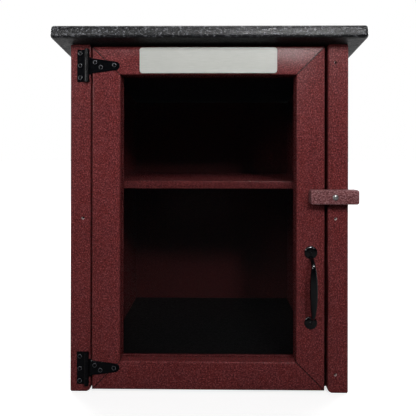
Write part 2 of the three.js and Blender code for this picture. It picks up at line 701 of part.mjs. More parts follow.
const carcass = makeCarcass();
box.updateMatrixWorld(true);
makeDoor(carcass);
screwStrips(carcass);
screwShelf(carcass);
makeRoof(carcass);
makeTurnButton(carcass.sides[1].strip);

export default box;
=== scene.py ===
"""Looks of the street book exchange box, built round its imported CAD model.

Metres, +Z up, front towards -Y.
"""

import json
import math

import bpy
from mathutils import Matrix, Vector

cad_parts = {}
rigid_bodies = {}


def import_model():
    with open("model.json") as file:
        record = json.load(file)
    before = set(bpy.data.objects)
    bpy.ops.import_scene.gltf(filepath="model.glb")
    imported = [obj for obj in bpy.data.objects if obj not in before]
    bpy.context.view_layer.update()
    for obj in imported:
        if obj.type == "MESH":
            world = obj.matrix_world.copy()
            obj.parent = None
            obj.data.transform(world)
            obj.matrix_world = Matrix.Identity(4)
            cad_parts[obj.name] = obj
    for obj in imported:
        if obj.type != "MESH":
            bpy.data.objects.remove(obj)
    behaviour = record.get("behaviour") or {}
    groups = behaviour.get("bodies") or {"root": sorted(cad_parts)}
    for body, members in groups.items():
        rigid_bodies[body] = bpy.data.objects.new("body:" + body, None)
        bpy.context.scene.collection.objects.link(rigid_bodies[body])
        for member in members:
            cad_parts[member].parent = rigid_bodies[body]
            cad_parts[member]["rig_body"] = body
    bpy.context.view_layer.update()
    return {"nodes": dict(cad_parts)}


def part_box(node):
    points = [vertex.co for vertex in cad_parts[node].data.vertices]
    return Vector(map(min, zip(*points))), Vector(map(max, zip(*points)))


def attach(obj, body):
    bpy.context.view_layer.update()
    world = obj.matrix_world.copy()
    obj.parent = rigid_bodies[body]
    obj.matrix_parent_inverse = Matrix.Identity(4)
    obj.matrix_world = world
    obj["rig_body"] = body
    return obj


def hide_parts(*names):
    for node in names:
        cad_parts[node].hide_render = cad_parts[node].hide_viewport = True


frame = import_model()
nodes = frame["nodes"]
scene = bpy.context.scene
MM = 0.001


# Node trees

# Cosines of the lean between a rounded normal and the real one, on an edge and on a flat face
EDGE_LEAN = (0.9, 0.995)
# Along each board, leaning a little so that no face lies square to it
GRAIN = {"x": (1.0, 0.03, 0.02), "z": (0.03, 0.02, 1.0)}
# Granules are a little longer along the board, and streaks fifty times as long as they are wide
STRETCH = {"x": (0.7, 1.0, 1.0), "z": (1.0, 1.0, 0.7)}
STREAK = {"x": (0.02, 1.0, 1.0), "z": (1.0, 1.0, 0.02)}
# A range that ends at 0 instead of 1
FALLING = (1.0, 0.0)


class Tree:
    """A node tree with short calls for the nodes that the materials share."""

    def __init__(self, owner):
        owner.use_nodes = True
        self.tree = owner.node_tree
        self.tree.nodes.clear()

    def add(self, kind, **settings):
        node = self.tree.nodes.new(kind)
        for key, value in settings.items():
            setattr(node, key, value)
        return node

    def link(self, output, socket):
        self.tree.links.new(output, socket)

    def put(self, value, socket):
        """Links a node's output to a socket, or sets the socket to a plain value."""
        if isinstance(value, bpy.types.NodeSocket):
            self.link(value, socket)
        else:
            socket.default_value = value

    def feed(self, node, **values):
        """Sets or links a node's inputs. An underscore in a name stands for a space."""
        for key, value in values.items():
            self.put(value, node.inputs[key.replace("_", " ")])
        return node

    def math(self, operation, a, b=0.0):
        node = self.add("ShaderNodeMath", operation=operation)
        self.put(a, node.inputs[0])
        self.put(b, node.inputs[1])
        return node.outputs[0]

    def times(self, a, b):
        return self.math("MULTIPLY", a, b)

    def ranged(self, value, source, target=(0.0, 1.0), smooth=False):
        """A value carried from one range to another and held at the ends."""
        kind = "SMOOTHSTEP" if smooth else "LINEAR"
        node = self.add("ShaderNodeMapRange", interpolation_type=kind)
        self.feed(node, Value=value, From_Min=source[0], From_Max=source[1])
        self.feed(node, To_Min=target[0], To_Max=target[1])
        return node.outputs[0]

    def band(self, value, rise, fall):
        """1 between two ranges, in which it rises from 0 and falls back."""
        return self.times(self.ranged(value, rise), self.ranged(value, fall, FALLING))

    def mix(self, factor, a, b, blend="MIX"):
        """Two colours mixed. The node's colour sockets are numbers 6 and 7."""
        node = self.add("ShaderNodeMix", data_type="RGBA", blend_type=blend)
        for value, index in ((factor, 0), (a, 6), (b, 7)):
            self.put(value, node.inputs[index])
        return node.outputs[2]

    def dimmed(self, colour, share):
        """A colour times a node's output."""
        grey = self.add("ShaderNodeCombineColor")
        for socket in grey.inputs[:3]:
            self.link(share, socket)
        return self.mix(1.0, colour, grey.outputs[0], "MULTIPLY")

    def place(self, stretch=(1, 1, 1)):
        """Object coordinates, stretched along the axes."""
        coords = self.add("ShaderNodeTexCoord").outputs["Object"]
        mapping = self.add("ShaderNodeMapping")
        self.feed(mapping, Vector=coords, Scale=stretch)
        return mapping.outputs[0]

    def normal(self):
        """The surface's own direction, in object axes."""
        return self.add("ShaderNodeTexCoord").outputs["Normal"]

    def axes(self, vector):
        """A vector's x, y and z."""
        node = self.add("ShaderNodeSeparateXYZ")
        self.link(vector, node.inputs[0])
        return node.outputs

    def length(self, vector):
        node = self.add("ShaderNodeVectorMath", operation="LENGTH")
        self.link(vector, node.inputs[0])
        return node.outputs["Value"]

    def noise(self, vector, scale, detail=2.0, rough=0.5, distort=0.0):
        node = self.add("ShaderNodeTexNoise")
        self.feed(node, Vector=vector, Scale=scale, Detail=detail)
        self.feed(node, Roughness=rough, Distortion=distort)
        return node.outputs["Fac"]

    def cell_shades(self, vector, scale):
        """Random values, three for each cell of a cell pattern."""
        cells = self.add("ShaderNodeTexVoronoi")
        self.feed(cells, Vector=vector, Scale=scale)
        shades = self.add("ShaderNodeSeparateColor")
        self.link(cells.outputs["Color"], shades.inputs[0])
        return shades.outputs

    def ramp(self, factor, *stops):
        node = self.add("ShaderNodeValToRGB")
        elements = node.color_ramp.elements
        for _ in range(len(stops) - len(elements)):
            elements.new(0.5)
        for element, (place, colour) in zip(elements, stops):
            element.position = place
            element.color = colour
        self.link(factor, node.inputs[0])
        return node.outputs[0]

    def bump(self, height, strength, depth):
        node = self.add("ShaderNodeBump")
        self.feed(node, Height=height, Strength=strength, Distance=depth)
        return node.outputs[0]

    def lengthwise(self, grain):
        """The board's length, along which its sheen spreads a little."""
        along = self.add("ShaderNodeCombineXYZ")
        for socket, value in zip(along.inputs, GRAIN[grain]):
            socket.default_value = value
        turned = self.add("ShaderNodeVectorTransform", vector_type="VECTOR")
        turned.convert_from, turned.convert_to = "OBJECT", "WORLD"
        self.link(along.outputs[0], turned.inputs[0])
        return turned.outputs[0]

    def edge_mask(self, radius):
        """1 on edges and 0 on flat faces, from how far a rounded normal leans from the real one."""
        rounded = self.add("ShaderNodeBevel", samples=4)
        self.feed(rounded, Radius=radius)
        lean = self.add("ShaderNodeVectorMath", operation="DOT_PRODUCT")
        normal = self.add("ShaderNodeNewGeometry").outputs["True Normal"]
        self.link(rounded.outputs[0], lean.inputs[0])
        self.link(normal, lean.inputs[1])
        return self.ranged(lean.outputs["Value"], EDGE_LEAN, FALLING)


def srgb(red, green, blue):
    """A colour as an image gives it, 0 to 255, as linear values for a shader."""

    def linear(value):
        share = value / 255
        if share <= 0.04045:
            return share / 12.92
        return ((share + 0.055) / 1.055) ** 2.4

    return (linear(red), linear(green), linear(blue), 1.0)


def surface(name):
    """A new material with a Principled shader."""
    material = bpy.data.materials.new(name)
    tree = Tree(material)
    shader = tree.add("ShaderNodeBsdfPrincipled")
    output = tree.add("ShaderNodeOutputMaterial")
    tree.link(shader.outputs[0], output.inputs["Surface"])
    return material, tree, shader


# Materials

# Dark granules, middle tone, light granules and cooler clouds
MAROON = (srgb(66, 21, 23), srgb(97, 35, 35), srgb(140, 77, 78), srgb(93, 41, 45))
# The same for the board's sawn faces, paler, as on the turn button
SAWN = (srgb(78, 36, 38), srgb(113, 66, 68), srgb(164, 122, 124), srgb(110, 68, 72))
# Painted shade for the groove along each of the door's mitres
MITRE_PAINTED_SHADE = srgb(20, 8, 9)
MITRE_STRENGTH = 0.9
MITRE_FADE = (0.9 * MM, 1.8 * MM)  # measured level, off the line where the door's members meet
MITRE_END = (50 * MM, 52 * MM)  # inwards from the door's outer edge, where that line ends
# A pale crescent by the strip screws' holes: partly burr, partly painted highlight
BURR_GLINT_COLOUR = srgb(198, 182, 180)
BURR_GLINT_RISE = (2.1 * MM, 2.4 * MM)  # from the middle of a screw hole
BURR_GLINT_FALL = (2.7 * MM, 3.2 * MM)
BURR_GLINT_SIDE = (0, 1.5 * MM)  # outwards and down from the middle, where the crescent comes in
RIM_FADE = 0.3 * MM  # where the painted highlight on a screw head's rim comes in and goes out
GLINT_SIDE = (-0.3 * MM, 0.6 * MM)  # across a head, where the lit side of that painted highlight comes in


def mitre_shade_mask(t):
    """1 in the groove where the door's mitred ends meet, and 0 elsewhere, where it lays painted
    shade.
    """
    low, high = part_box("door_hinge_stile")
    left, foot, top = low.x, low.z, high.z
    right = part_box("door_latch_stile")[1].x
    place = t.axes(t.place())
    across = t.math("ABSOLUTE", t.math("SUBTRACT", place[0], (left + right) / 2))
    up = t.math("ABSOLUTE", t.math("SUBTRACT", place[2], (foot + top) / 2))
    inset = t.math("SUBTRACT", (right - left) / 2, across)
    drop = t.math("SUBTRACT", (top - foot) / 2, up)
    off = t.math("ABSOLUTE", t.math("SUBTRACT", inset, drop))
    return t.times(t.ranged(off, MITRE_FADE, FALLING), t.ranged(inset, MITRE_END, FALLING))


def burr_glint_mask(t):
    """1 on the pale crescent beside the strips' middle and lower screw holes, partly the drill's
    burr and partly a painted highlight on the hole's lower rim.
    """
    low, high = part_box("right_strip_screw_lower")
    mid_low, mid_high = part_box("right_strip_screw_middle")
    column, first = (low.x + high.x) / 2, (low.z + high.z) / 2
    second = (mid_low.z + mid_high.z) / 2
    place = t.axes(t.place())
    across = t.math("SUBTRACT", t.math("ABSOLUTE", place[0]), column)
    above = t.math("GREATER_THAN", place[2], (first + second) / 2)
    centre = t.math("ADD", t.times(above, second - first), first)
    up = t.math("SUBTRACT", place[2], centre)
    offset = t.add("ShaderNodeCombineXYZ")
    t.link(across, offset.inputs[0])
    t.link(up, offset.inputs[1])
    ring = t.band(t.length(offset.outputs[0]), BURR_GLINT_RISE, BURR_GLINT_FALL)
    return t.times(ring, t.ranged(t.math("SUBTRACT", across, up), BURR_GLINT_SIDE))


def board(
    name,
    colours,
    grain,
    rough=(0.32, 0.22),
    skin=0.3,
    streaky=0.05,
    mitred=False,
    burr_glint=False,
    inside_shade=1.0,
):
    """Recycled plastic board: mixed granules, cooler clouds, faint streaks and a pebbled skin.

    Its roughness is given for the hollows and the tops of the skin. A number below 1 paints shade
    on the face towards the door, which lies deep in the box.
    """
    dark, middle, light, cool = colours
    material, t, shader = surface(name)
    place = t.place()
    along = t.place(STRETCH[grain])
    streaks = t.noise(t.place(STREAK[grain]), scale=240, detail=2.5, rough=0.6)
    granules = t.noise(along, scale=540, rough=0.7)
    flecks = t.cell_shades(along, scale=620)
    clouds = t.noise(place, scale=62, detail=3.0, rough=0.65)
    mottle = t.noise(place, scale=9, detail=3.0, rough=0.6)
    wear = t.noise(place, scale=130, detail=3.0, rough=0.6)
    colour = t.mix(t.ranged(clouds, (0.42, 0.62), (0.0, 0.6)), middle, cool)
    colour = t.mix(t.ranged(granules, (0.49, 0.4)), colour, dark)
    colour = t.mix(t.ranged(granules, (0.52, 0.63), (0.0, 0.9)), colour, light)
    colour = t.mix(t.ranged(flecks[0], (0.75, 1.0), (0.0, 0.4)), colour, light)
    colour = t.mix(t.ranged(flecks[1], (0.7, 1.0), (0.0, 0.5)), colour, dark)
    streak_tone = t.ranged(streaks, (0.3, 0.7), (1 - streaky, 1 + streaky))
    colour = t.dimmed(colour, t.times(streak_tone, t.ranged(mottle, (0.3, 0.7), (0.94, 1.06))))
    worn = t.times(t.edge_mask(radius=1.6 * MM), t.ranged(wear, (0.42, 0.62), (0.0, 0.5)))
    colour = t.mix(worn, colour, light)
    if mitred:
        # Painted shade along the mitre grooves
        colour = t.mix(t.times(mitre_shade_mask(t), MITRE_STRENGTH), colour, MITRE_PAINTED_SHADE)
    if burr_glint:
        # Painted highlight, partly burr, on the lower rim of each strip screw's hole
        colour = t.mix(burr_glint_mask(t), colour, BURR_GLINT_COLOUR)
    if inside_shade < 1:
        # Painted shade on the face towards the door, deep in the box
        forward = t.axes(t.normal())[1]
        colour = t.dimmed(colour, t.ranged(forward, (-0.9, -0.6), (inside_shade, 1.0)))
    height = t.math("ADD", granules, t.times(streaks, 0.3))
    t.feed(
        shader,
        Base_Color=colour,
        Roughness=t.ranged(granules, (0.3, 0.7), rough),
        IOR=1.5,
        Specular_IOR_Level=0.12,
        Anisotropic=0.2,
        Tangent=t.lengthwise(grain),
        Normal=t.bump(height, strength=skin, depth=0.4 * MM),
    )
    return material


def black_board(name, tone_and_shade):
    """Black board whose cut edges show pale granules. A lower number darkens its flat faces:
    on the floor panel, deep in the box, that is painted shade.
    """
    material, t, shader = surface(name)
    along = t.place(STRETCH["x"])
    granules = t.noise(along, scale=420, detail=3.0, rough=0.75)
    coarse = t.noise(along, scale=250, detail=3.0, rough=0.8)
    streaks = t.noise(t.place(STREAK["x"]), scale=200, detail=2.5, rough=0.6)
    flat = t.ranged(t.math("ABSOLUTE", t.axes(t.normal())[2]), (0.55, 0.95))
    face = t.ramp(
        granules,
        (0.3, srgb(15 * tone_and_shade, 15 * tone_and_shade, 18 * tone_and_shade)),
        (0.5, srgb(25 * tone_and_shade, 26 * tone_and_shade, 30 * tone_and_shade)),
        (0.72, srgb(50 * tone_and_shade, 51 * tone_and_shade, 56 * tone_and_shade)),
    )
    edge = t.ramp(
        coarse,
        (0.4, srgb(7, 7, 10)),
        (0.53, srgb(13, 14, 17)),
        (0.66, srgb(116, 117, 122)),
    )
    glint = t.ranged(coarse, (0.4, 0.62), (0.36, 0.16))
    height = t.math("ADD", coarse, t.times(streaks, 0.3))
    t.feed(
        shader,
        Base_Color=t.mix(flat, edge, face),
        Roughness=t.math("ADD", glint, t.times(flat, 0.34)),
        IOR=1.5,
        Specular_IOR_Level=0.38,
        Normal=t.bump(height, strength=0.9, depth=1.1 * MM),
    )
    return material


def coated_steel():
    """Black powder coat with a fine orange peel and bare metal on worn edges."""
    material, t, shader = surface("black_powder_coat")
    place = t.place()
    peel = t.noise(place, scale=900)
    wear = t.noise(place, scale=300, detail=3.0, rough=0.6)
    patches = t.noise(place, scale=220, detail=3.0, rough=0.6)
    worn = t.times(t.edge_mask(radius=0.5 * MM), t.ranged(wear, (0.5, 0.62)))
    t.feed(
        shader,
        Base_Color=t.mix(worn, srgb(7, 7, 10), srgb(52, 52, 54)),
        Specular_IOR_Level=0.17,
        Roughness=t.ranged(patches, (0.3, 0.7), (0.12, 0.2)),
        Normal=t.bump(peel, strength=0.25, depth=0.15 * MM),
    )
    return material


def rim_glint_screw(name, rim, inner, outer, sided=False):
    """Black screw finish with a painted highlight on the head's rim, or on one side of it only."""
    material, t, shader = surface(name)
    place = t.place()
    radius = t.length(t.place((1.0, 1.0, 0.0)))
    # Painted highlight: a pale ring on the head's rim, where light catches it
    bare = t.band(radius, (inner, inner + RIM_FADE), (outer, outer + RIM_FADE))
    if sided:
        bare = t.times(bare, t.ranged(t.axes(place)[0], GLINT_SIDE))
    patches = t.ranged(t.noise(place, scale=330), (0.36, 0.58), (0.25, 1.0))
    t.feed(
        shader,
        Base_Color=t.mix(t.times(bare, patches), srgb(9, 9, 11), rim),
        Specular_IOR_Level=0.2,
        Roughness=t.ranged(t.noise(place, scale=500), (0.3, 0.7), (0.16, 0.28)),
        Normal=t.bump(t.noise(place, scale=900), strength=0.2, depth=0.1 * MM),
    )
    return material


def enamel():
    """Deep black gloss enamel over a casting that isn't quite smooth."""
    material, t, shader = surface("black_gloss_enamel")
    place = t.place()
    tones = t.noise(place, scale=400)
    patches = t.noise(place, scale=260, detail=3.0, rough=0.6)
    t.feed(
        shader,
        Base_Color=t.ramp(tones, (0.3, srgb(2, 2, 4)), (0.7, srgb(7, 7, 9))),
        Roughness=t.ranged(patches, (0.3, 0.7), (0.08, 0.15)),
        Specular_IOR_Level=0.36,
        Coat_Weight=0.25,
        Coat_Roughness=0.05,
        Normal=t.bump(t.noise(place, scale=130), strength=0.12, depth=0.4 * MM),
    )
    return material


def steel(name, colour, rough):
    """Plated steel with turning marks and light stains."""
    material, t, shader = surface(name)
    place = t.place()
    stain = t.noise(place, scale=420, detail=3.0, rough=0.65)
    red, green, blue, _ = colour
    dull = (red * 0.45, green * 0.44, blue * 0.42, 1.0)
    t.feed(
        shader,
        Base_Color=t.mix(t.ranged(stain, (0.35, 0.75)), colour, dull),
        Metallic=0.9,
        Roughness=t.ranged(stain, (0.3, 0.7), rough),
        Normal=t.bump(t.noise(place, scale=2600), strength=0.2, depth=0.08 * MM),
    )
    return material


def plate_sheet():
    """Satin pale metal sheet with a fine level brush."""
    material, t, shader = surface("pale_plate")
    brush = t.noise(t.place(STREAK["x"]), scale=2400, detail=3.0, rough=0.6)
    cloud = t.noise(t.place(), scale=22, detail=3.0, rough=0.6)
    colour = t.ramp(
        brush,
        (0.25, srgb(172, 173, 168)),
        (0.5, srgb(183, 184, 179)),
        (0.78, srgb(194, 195, 190)),
    )
    colour = t.mix(t.ranged(cloud, (0.35, 0.7), (0.0, 0.35)), colour, srgb(175, 176, 171))
    # Darker all along the plate's rounded edges
    worn = t.times(t.edge_mask(radius=0.5 * MM), 0.6)
    t.feed(
        shader,
        Base_Color=t.mix(worn, colour, srgb(138, 138, 136)),
        Specular_IOR_Level=0.25,
        Roughness=t.ranged(brush, (0.3, 0.7), (0.36, 0.5)),
        Normal=t.bump(brush, strength=0.12, depth=0.05 * MM),
    )
    return material


def pane_sheet():
    """Thin clear plastic with faint smears, which only its reflections show."""
    material, t, shader = surface("clear_pane")
    smear = t.noise(t.place((1.0, 1.0, 0.5)), scale=26, detail=4.0, rough=0.65, distort=0.6)
    t.feed(
        shader,
        Base_Color=srgb(3, 4, 6),
        Roughness=t.ranged(smear, (0.35, 0.75), (0.03, 0.14)),
        IOR=1.49,
        Alpha=0.12,
    )
    return material


MATERIAL = {
    "maroon_x": board("maroon_board_x", MAROON, "x"),
    "maroon_z": board("maroon_board_z", MAROON, "z"),
    # The back wall, with painted shade on its inner face
    "maroon_back_shaded": board("maroon_back_shaded", MAROON, "z", inside_shade=0.6),
    "maroon_strip": board("maroon_strip", MAROON, "z", burr_glint=True),
    "maroon_door_x": board("maroon_door_x", MAROON, "x", mitred=True),
    "maroon_door_z": board("maroon_door_z", MAROON, "z", mitred=True),
    "maroon_sawn": board(
        "maroon_board_sawn", SAWN, "x", rough=(0.55, 0.4), skin=0.5, streaky=0.2
    ),
    "black_x": black_board("black_board_x", tone_and_shade=0.73),
    # The floor panel, with painted shade on its faces
    "black_floor_shaded": black_board("black_floor_shaded", tone_and_shade=0.22),
    "coated": coated_steel(),
    # Screw heads with painted highlights on their rims
    "rim_glint": rim_glint_screw("rim_glint_screw", srgb(96, 96, 102), inner=2.8 * MM, outer=3.4 * MM),
    "sunk": rim_glint_screw(
        "sunk_screw", srgb(225, 222, 222), inner=1.0 * MM, outer=2.2 * MM, sided=True
    ),
    "enamel": enamel(),
    "bright": steel("bright_steel", srgb(205, 205, 206), rough=(0.22, 0.38)),
    "grey": steel("grey_steel", srgb(150, 152, 156), rough=(0.3, 0.46)),
    "plate": plate_sheet(),
    "pane": pane_sheet(),
}


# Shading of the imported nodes

SOFT_ANGLE = 40  # degrees between two faces, up to which their edge is shaded round
WELD_DISTANCE = 2e-6
CHAMFER_WIDTH = 0.7 * MM
CHAMFER_ANGLE = 50  # degrees between two faces, from which their edge is chamfered
FLAT_WEIGHT = 90  # out of 100, and above 50 a large face outweighs a small one in the shading
CHAMFERED = (
    "door_hinge_stile",
    "door_top_rail",
    "door_latch_stile",
    "door_bottom_rail",
    "shelf",
)
FLATTENED = ("left_front_strip", "right_front_strip", "left_side_wall", "right_side_wall")
DRESS = {
    "roof_board": "black_x",
    "floor_panel": "black_floor_shaded",
    "shelf": "maroon_x",
    "back_wall": "maroon_back_shaded",
    "left_side_wall": "maroon_z",
    "right_side_wall": "maroon_z",
    "left_front_strip": "maroon_strip",
    "right_front_strip": "maroon_strip",
    "door_hinge_stile": "maroon_door_z",
    "door_latch_stile": "maroon_door_z",
    "door_top_rail": "maroon_door_x",
    "door_bottom_rail": "maroon_door_x",
    "pane_retainer_left": "maroon_z",
    "pane_retainer_right": "maroon_z",
    "pane_retainer_top": "maroon_x",
    "pane_retainer_bottom": "maroon_x",
    "turn_button": "maroon_sawn",
    "window_pane": "pane",
    "name_plate": "plate",
    "pull_handle": "enamel",
}


def shading_group():
    """A modifier that joins the faces' shared corners and rounds the shading over shallow edges."""
    group = bpy.data.node_groups.new("soft_edges", "GeometryNodeTree")
    group.interface.new_socket("Geometry", in_out="INPUT", socket_type="NodeSocketGeometry")
    group.interface.new_socket("Geometry", in_out="OUTPUT", socket_type="NodeSocketGeometry")
    add = group.nodes.new
    start, end = add("NodeGroupInput"), add("NodeGroupOutput")
    weld = add("GeometryNodeMergeByDistance")
    weld.inputs["Distance"].default_value = WELD_DISTANCE
    bare = add("GeometryNodeRemoveAttribute")
    bare.inputs["Name"].default_value = "custom_normal"
    faces = add("GeometryNodeSetShadeSmooth")
    angle = add("GeometryNodeInputMeshEdgeAngle")
    sharp = add("FunctionNodeCompare")
    sharp.data_type, sharp.operation = "FLOAT", "GREATER_THAN"
    sharp.inputs[1].default_value = math.radians(SOFT_ANGLE)
    edges = add("GeometryNodeSetShadeSmooth")
    edges.domain = "EDGE"
    edges.inputs["Shade Smooth"].default_value = False
    chain = (start, weld, bare, faces, edges, end)
    for a, b in zip(chain, chain[1:]):
        group.links.new(a.outputs[0], b.inputs[0])
    group.links.new(angle.outputs["Unsigned Angle"], sharp.inputs[0])
    group.links.new(sharp.outputs[0], edges.inputs["Selection"])
    return group


SOFT_EDGES = shading_group()


def smooth(obj):
    modifier = obj.modifiers.new("soft_edges", "NODES")
    modifier.node_group = SOFT_EDGES


def chamfer(obj):
    """Breaks the sharp edges a little: the door's members get a fine groove at each mitre."""
    modifier = obj.modifiers.new("chamfer", "BEVEL")
    modifier.width = CHAMFER_WIDTH
    modifier.limit_method = "ANGLE"
    modifier.angle_limit = math.radians(CHAMFER_ANGLE)
    modifier.use_clamp_overlap = True


def flatten(obj):
    """Keeps the shading of a board's large faces flat beside its rounded edges."""
    modifier = obj.modifiers.new("flat_faces", "WEIGHTED_NORMAL")
    modifier.weight = FLAT_WEIGHT
    modifier.keep_sharp = True


def dress(name, key):
    """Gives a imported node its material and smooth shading."""
    obj = nodes[name]
    obj.data.materials.clear()
    obj.data.materials.append(MATERIAL[key])
    smooth(obj)
    if name in CHAMFERED:
        chamfer(obj)
    if name in FLATTENED:
        flatten(obj)


for node_name in nodes:
    # What DRESS doesn't name is a piece of a hinge, or a screw that gets a stand-in below
    dress(node_name, DRESS.get(node_name, "coated"))


# Screws with a cross recess

SCREW_SIDES = 40
# Shares of a head's radius and rise, from its seat to the rim of its flat top
HEAD_SHARES = (
    (1.0, 0.0),
    (1.0, 0.28),
    (0.97, 0.45),
    (0.9, 0.65),
    (0.76, 0.84),
    (0.56, 0.96),
    (0.3, 1.0),
)
POINT_SHARE = 0.4  # the shank's end against its radius
ARM_WIDTH_SHARE = 0.13  # half the width of the recess's arm against the head's radius
ARM_FLOOR_SHARE, ARM_TOP_SHARE = 0.25, 1.2  # of the head's rise
ARM_REACH_TAPER, ARM_WIDTH_TAPER = 0.55, 0.82  # of the floor of an arm against its top
BOX_FACES = (
    (3, 2, 1, 0),
    (4, 5, 6, 7),
    (0, 1, 5, 4),
    (1, 2, 6, 5),
    (2, 3, 7, 6),
    (3, 0, 4, 7),
)
# Millimetres, but for the recess, which is a share of the head's radius
SCREWS = {
    "hinge": dict(head=4.4, rise=1.6, shank=1.8, length=14, recess=0.56, key="rim_glint"),
    "handle": dict(head=3.2, rise=1.4, shank=1.8, length=16, recess=0.56, key="enamel"),
    "pivot": dict(head=4.9, rise=2.6, shank=2.4, length=33, recess=0.5, key="bright"),
    "strip": dict(head=2.1, rise=0.9, shank=1.5, length=44, recess=0.5, key="sunk"),
    "shelf": dict(head=4.1, rise=1.8, shank=1.8, length=42, recess=0.56, key="grey"),
    "roof": dict(head=4.6, rise=2.0, shank=2.1, length=50, recess=0.56, key="coated"),
    "small": dict(head=3.0, rise=1.2, shank=1.4, length=10, recess=0.56, key="grey"),
}


def mesh_of(name, verts, faces):
    mesh = bpy.data.meshes.new(name)
    mesh.from_pydata(verts, [], faces)
    mesh.validate()
    return mesh


def turned(profile):
    """Points and faces of a body turned about z. The (radius, height) pairs start and end on it."""
    verts, faces = [(0, 0, profile[0][1])], []
    for radius, height in profile[1:-1]:
        for i in range(SCREW_SIDES):
            angle = math.tau * i / SCREW_SIDES
            verts.append((radius * math.cos(angle), radius * math.sin(angle), height))
    verts.append((0, 0, profile[-1][1]))
    last = len(verts) - 1
    rings = len(profile) - 2
    top = 1 + (rings - 1) * SCREW_SIDES
    for i in range(SCREW_SIDES):
        after = (i + 1) % SCREW_SIDES
        faces.append((0, 1 + i, 1 + after))
        for ring in range(rings - 1):
            a, b = 1 + ring * SCREW_SIDES, 1 + (ring + 1) * SCREW_SIDES
            faces.append((a + i, b + i, b + after, a + after))
        faces.append((last, top + after, top + i))
    return verts, faces


def recess_arm(reach, half_width, floor, top, crosswise):
    """One of the two tapered bars that are cut into a screw head."""
    verts = []
    foot = (floor, reach * ARM_REACH_TAPER, half_width * ARM_WIDTH_TAPER)
    for height, length, width in (foot, (top, reach, half_width)):
        for x, y in ((-1, -1), (1, -1), (1, 1), (-1, 1)):
            a, b = x * length, y * width
            verts.append((-b, a, height) if crosswise else (a, b, height))
    return mesh_of("arm", verts, BOX_FACES)


def cut(mesh, cutters, name):
    """The mesh less each cutter."""
    work = bpy.data.objects.new("work", mesh)
    scene.collection.objects.link(work)
    tools = []
    for cutter in cutters:
        tool = bpy.data.objects.new("tool", cutter)
        scene.collection.objects.link(tool)
        boolean = work.modifiers.new("cut", "BOOLEAN")
        boolean.operation, boolean.solver, boolean.object = "DIFFERENCE", "EXACT", tool
        tools.append(tool)
    view = bpy.context.evaluated_depsgraph_get()
    made = bpy.data.meshes.new_from_object(work.evaluated_get(view))
    made.name = name
    for obj in (work, *tools):
        bpy.data.objects.remove(obj)
    return made


def screw_mesh(name, head, rise, shank, length, recess):
    """A pan head on a shank along -z with its seat at z = 0 and a cross recess in the top."""
    dome = [(head * across, rise * up) for across, up in HEAD_SHARES]
    point = [(0, -length), (shank * POINT_SHARE, shank - length), (shank, 2 * shank - length)]
    blank = mesh_of(name, *turned([*point, (shank, 0), *dome, (0, rise)]))
    floor, top = rise * ARM_FLOOR_SHARE, rise * ARM_TOP_SHARE
    arms = [
        recess_arm(head * recess, head * ARM_WIDTH_SHARE, floor, top, crosswise)
        for crosswise in (False, True)
    ]
    return cut(blank, arms, name)


SCREW_MESH = {}
for kind, sizes in SCREWS.items():
    lengths = {key: sizes[key] * MM for key in ("head", "rise", "shank", "length")}
    made = screw_mesh(f"{kind}_screw", recess=sizes["recess"], **lengths)
    made.materials.append(MATERIAL[sizes["key"]])
    SCREW_MESH[kind] = made

FRONT, BACK = (0, -1, 0), (0, 1, 0)
LEFT, RIGHT = (-1, 0, 0), (1, 0, 0)
ROOF_SLOPE = math.radians(6.5)
ROOF_UP = (0, math.sin(ROOF_SLOPE), math.cos(ROOF_SLOPE))
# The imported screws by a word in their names: which kind they are and where their heads point
KINDS = {
    "leaf_screw": ("hinge", FRONT),
    "strap_screw": ("hinge", FRONT),
    "handle_screw": ("handle", FRONT),
    "turn_button_screw": ("pivot", FRONT),
    "strip_screw": ("strip", FRONT),
    "left_shelf_screw": ("shelf", LEFT),
    "right_shelf_screw": ("shelf", RIGHT),
    "roof_screw": ("roof", ROOF_UP),
}
SAME_LEVEL = 1e-5  # metres, within which points lie on the top of a head
# Degrees that turn the recesses, so that the screws in a row don't stand alike
FIRST_SPIN, SPIN_STEP = 48, 37
RETAINER_SPIN, RETAINER_SPIN_STEP = 15, 40
SPIN_PER_METRE_UP, SPIN_PER_METRE_BACK = 700, 500
# Metres above the base and from the floor panel's ends
BACK_SCREW_LEVELS = (("lower", 0.055), ("middle", 0.295), ("upper", 0.53))
FLOOR_SCREW_FROM_FRONT = 0.07
FLOOR_SCREW_FROM_BACK = 0.06
RETAINER_SCREW_SHARES = (0.12, 0.5, 0.88)  # of a retainer's length
RETAINER_SCREW_FROM_EDGE = 6 * MM


def screw_at(name, kind, seat, outward, body, spin):
    """Places a screw with its seat at a point and its head towards a direction."""
    turn = Vector(outward).normalized().to_track_quat("Z", "Y").to_matrix().to_4x4()
    obj = bpy.data.objects.new(name, SCREW_MESH[kind])
    scene.collection.objects.link(obj)
    spun = Matrix.Rotation(math.radians(spin), 4, "Z")
    obj.matrix_world = Matrix.Translation(seat) @ turn @ spun
    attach(obj, body)
    smooth(obj)
    return obj


def head_of(name, outward):
    """The middle of the top of a packed screw's head."""
    points = [vertex.co for vertex in nodes[name].data.vertices]
    top = max(point.dot(outward) for point in points)
    upper = {
        tuple(round(value, 6) for value in point)
        for point in points
        if point.dot(outward) > top - SAME_LEVEL
    }
    return sum((Vector(point) for point in upper), Vector()) / len(upper)


def make_screws():
    """A detailed screw in place of each packed one."""
    spin = FIRST_SPIN
    for name in sorted(nodes):
        for word, (kind, direction) in KINDS.items():
            if word in name:
                outward = Vector(direction).normalized()
                seat = head_of(name, outward) - outward * SCREWS[kind]["rise"] * MM
                body = nodes[name]["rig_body"]
                screw = screw_at(f"{name}_head", kind, seat, outward, body, spin)
                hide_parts(name)
                spin += SPIN_STEP


